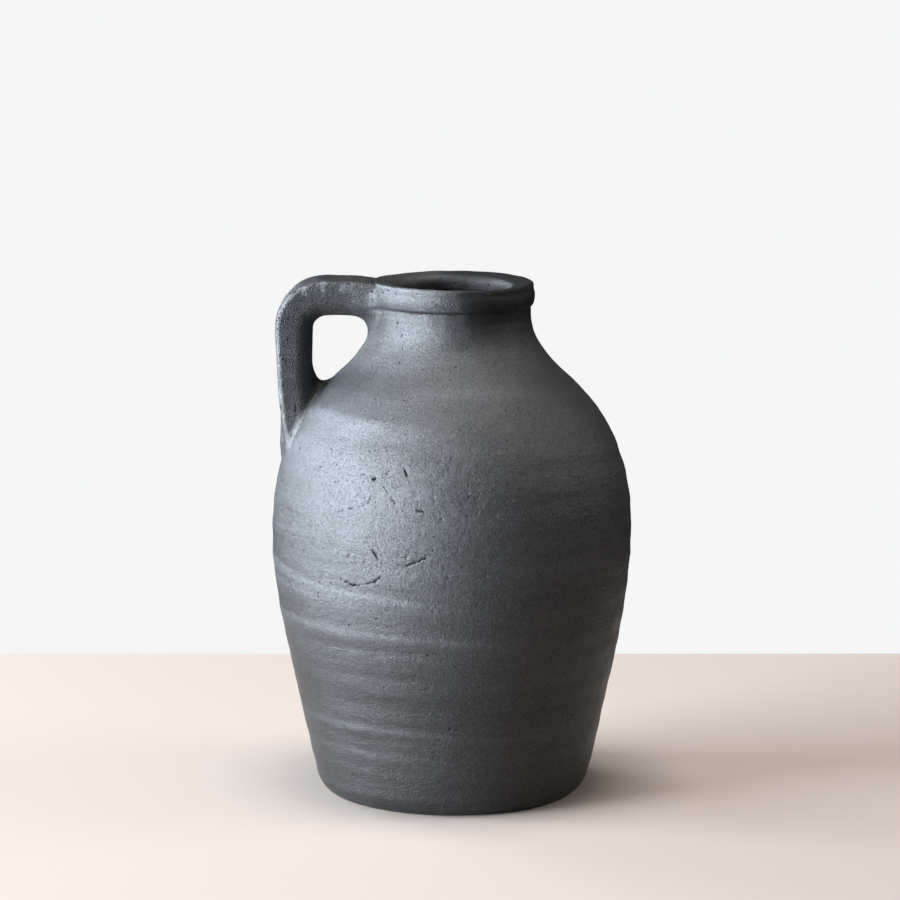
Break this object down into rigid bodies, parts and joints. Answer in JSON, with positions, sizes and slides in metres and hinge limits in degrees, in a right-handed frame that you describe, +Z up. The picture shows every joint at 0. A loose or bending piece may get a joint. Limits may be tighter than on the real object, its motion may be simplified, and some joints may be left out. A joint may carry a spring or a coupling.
{
  "type": "clay jug",
  "caption": "Round-bellied black clay jug with a flat foot, a short neck, a broad rolled rim and one pulled strap handle from rim to shoulder.",
  "frame": {"origin": "centre of the foot's flat underside, on the axis of the body", "axes": "+Z up along the axis of the body to the mouth; the handle is towards -X; Y runs across the handle"},
  "size_m": [0.2096, 0.2096, 0.302],
  "materials": {
    "black_clay": "unglazed reduction-fired black clay, dry satin surface with grog pits, drag marks and paler rubbed ridges"
  },
  "bodies": {
    "root": {"floor_slab": "black_clay", "lower_wall": "black_clay", "shoulder_wall": "black_clay", "neck_collar": "black_clay", "rim_coil": "black_clay", "handle_root": "black_clay", "handle_strap": "black_clay", "handle_tail": "black_clay"}
  },
  "joints": []
}
